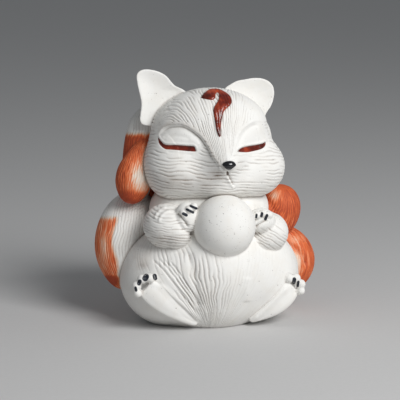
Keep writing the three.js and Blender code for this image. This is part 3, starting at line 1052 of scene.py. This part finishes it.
def paintedClay():
    f = Finish("paintedClay")
    place = f.node("TexCoord", out="Object")
    lane, along, combed = f.layer("lane"), f.layer("along"), f.layer("combed")
    groove = (lane * (2 * math.pi)).math("COSINE", lane * (2 * math.pi)) * 0.5 + 0.5
    groove = groove ** 3.0 * combed
    hollow = f.layer("hollow")
    grain = f.node("TexNoise", None, {"Vector": place, "Scale": paint["grain"], "Detail": 4.0, "Roughness": 0.65})
    mottle = f.node("TexNoise", None, {"Vector": place, "Scale": paint["mottle"], "Detail": 5.0, "Roughness": 0.6})
    brushed = f.node("CombineXYZ", None, {0: lane * 0.9, 1: along * 0.12, 2: 0.0})
    streak = f.node("TexNoise", None, {"Vector": brushed, "Scale": 2.2, "Detail": 3.0, "Roughness": 0.6})
    ragged = (grain - 0.5) * 0.16 + (mottle - 0.5) * 0.1

    # clay, a little warmer in patches
    colour = f.blend(mottle.between(0.42, 0.7) * 0.5, paint["clay"], paint["clayWarm"])
    # orange brushed along the tails, with a painted highlight and painted shade in places
    amount = f.layer("orange")
    laid = (amount + (streak - 0.5) * 1.1 * amount.between(0.03, 0.3) * (1 - amount.between(0.85, 1.15) * 0.6)).held()
    laid = (laid + groove * 0.18 * amount.between(0.1, 0.4)).held()
    tint = f.node("ValToRGB", {"stops": paint["orange"]}, {0: laid})
    colour = f.blend(amount.between(0.02, 0.12), colour, tint)
    # brown in the hollows, in the strokes, between forms and over some places: partly a wash in the clay, partly
    # painted shade
    paintedShadeAndWash = hollow.between(0.015, 0.26) * 0.75 + groove * 0.36
    paintedShadeAndWash = paintedShadeAndWash + f.layer("wash") * (0.5 + mottle.between(0.3, 0.7) * 0.5 + groove * 0.9)
    paintedShadeAndWash = (paintedShadeAndWash * (0.8 + (grain - 0.5) * 0.9)).held() * (1 - amount.between(0.2, 0.6) * 0.6)
    colour = f.blend(paintedShadeAndWash, colour, paint["wash"])
    # specks and pits, most on the ball
    onBall = f.layer("ball").between(0.6, 0.1)
    specks = 0.0
    for scale, few, many in ((1150.0, 0.965, 0.9), (2300.0, 0.95, 0.74)):
        settings = {"Vector": place, "Scale": scale, "Randomness": 1.0}
        cells = f.node("TexVoronoi", None, settings, out="Distance")
        chance = f.node("SeparateColor", None, {0: f.node("TexVoronoi", None, settings, out="Color")})
        chosen = chance.between(few, few + 0.02).most(chance.between(many, many + 0.03) * onBall)
        specks = cells.between(0.27, 0.12) * chosen + specks
    specks = specks.held()
    colour = f.blend(specks * 0.45, colour, (0.16, 0.13, 0.11, 1))

    # glazed mark and eyes, black nose and claws, and painted shade in the carved mouth and lip line
    mark = (f.layer("mark") + ragged * 0.5).between(0.06, -0.05)
    eyes = (f.layer("eyes") + ragged * 0.4).between(0.05, -0.05)
    nose = f.layer("nose").between(0.05, -0.04)
    claws = (f.layer("claws") + ragged).between(0.06, -0.06)
    mouth = f.layer("mouth").between(0.12, 0.0)
    # glaze tone: random mottle, lighter on raised parts as a painted highlight and darker in hollows as painted shade
    depth = (mottle.between(0.3, 0.75) + hollow.between(0.05, -0.2) * 0.5).held()
    glaze = f.node("ValToRGB", {"stops": paint["glaze"]}, {0: depth})
    colour = f.blend(mark.most(eyes), colour, glaze)
    # painted shade in the mouth
    colour = f.blend(mouth * 0.85, colour, (0.10, 0.06, 0.04, 1))
    colour = f.blend(claws, colour, paint["claw"])
    colour = f.blend(nose, colour, paint["black"])
    f.link("Base Color", colour)

    glazed = mark.most(eyes)
    rough = 0.80 + (mottle - 0.5) * 0.12 - amount.between(0.1, 0.5) * 0.12
    rough = rough + (0.3 - rough) * glazed
    rough = rough + (0.34 - rough) * claws
    rough = rough + (0.12 - rough) * nose
    f.link("Roughness", rough.held())
    f.link("Coat Weight", (glazed * 0.4 + nose * 0.8).held())
    f.set(**{"Coat Roughness": 0.12, "Specular IOR Level": 0.35})
    matt = 1 - glazed.most(nose) * 0.85
    height = (grain * 0.35 + mottle * 0.5 - groove * 0.6 - specks * 1.2) * matt
    bump = f.node("Bump", None, {"Height": height, "Strength": 0.55, "Distance": 0.00012})
    f.link("Normal", bump)
    return f.material


clay = paintedClay()
for skin, meshes in zip(skins, (headMeshes(), bodyMeshes(), [tailMesh(tail) for tail in tails])):
    makeSkin(skin, meshes)

# Floor, light and camera

light = {"key": (0.304, -0.758, 0.576), "away": 0.6, "size": 0.3, "power": 3.1, "room": 0.2, "wall": 0.62}


def makeFloor():
    bm = bmesh.new()
    bmesh.ops.create_grid(bm, x_segments=1, y_segments=1, size=3)
    mesh = bpy.data.meshes.new("floor")
    bm.to_mesh(mesh)
    bm.free()
    floor = bpy.data.objects.new("floor", mesh)
    bpy.context.scene.collection.objects.link(floor)
    paper = Finish("palePaper")
    place = paper.node("TexCoord", out="Object")
    fibre = paper.node("TexNoise", None, {"Vector": place, "Scale": 900.0, "Detail": 3.0})
    paper.link("Base Color", paper.blend(fibre, (0.60, 0.595, 0.59, 1), (0.64, 0.635, 0.63, 1)))
    paper.set(Roughness=0.9)
    floor.data.materials.append(paper.material)


def makeCamera():
    camera = bpy.data.objects.new("camera", bpy.data.cameras.new("camera"))
    bpy.context.scene.collection.objects.link(camera)
    target = lookAt + vec(*standing["shift"])
    camera.location = Vector(target + toCamera * photo["distance"]) * standing["scale"]
    camera.rotation_euler = Vector(-toCamera).to_track_quat("-Z", "Y").to_euler()
    camera.data.sensor_width = photo["sensor"]
    camera.data.lens = photo["sensor"] * photo["distance"] / (2 * photo["middle"] * photo["mm"])
    camera.data.clip_start = 0.01
    bpy.context.scene.camera = camera


def areaLight(name, at, size, power):
    made = bpy.data.lights.new(name, "AREA")
    made.size = size
    made.energy = power
    lamp = bpy.data.objects.new(name, made)
    bpy.context.scene.collection.objects.link(lamp)
    lamp.location = at
    lamp.rotation_euler = (Vector((0, 0, 0.035)) - Vector(at)).to_track_quat("-Z", "Y").to_euler()


def makeRoom():
    # dim light from all round, before a paler wall
    room = bpy.data.worlds.new("room")
    bpy.context.scene.world = room
    room.use_nodes = True
    nodes, links = room.node_tree.nodes, room.node_tree.links
    nodes["Background"].inputs["Color"].default_value = (0.92, 0.96, 1.0, 1)
    nodes["Background"].inputs["Strength"].default_value = light["room"]
    wall = nodes.new("ShaderNodeBackground")
    wall.inputs["Color"].default_value = (light["wall"],) * 3 + (1,)
    path, either = nodes.new("ShaderNodeLightPath"), nodes.new("ShaderNodeMixShader")
    links.new(path.outputs["Is Camera Ray"], either.inputs[0])
    links.new(nodes["Background"].outputs[0], either.inputs[1])
    links.new(wall.outputs[0], either.inputs[2])
    links.new(either.outputs[0], nodes["World Output"].inputs["Surface"])


makeFloor()
makeCamera()
areaLight("key", vec(*light["key"]) * light["away"] + vec(0, 0, 0.035), light["size"], light["power"])
makeRoom()
bpy.context.scene.view_settings.view_transform = "Standard"
print("scene lit")
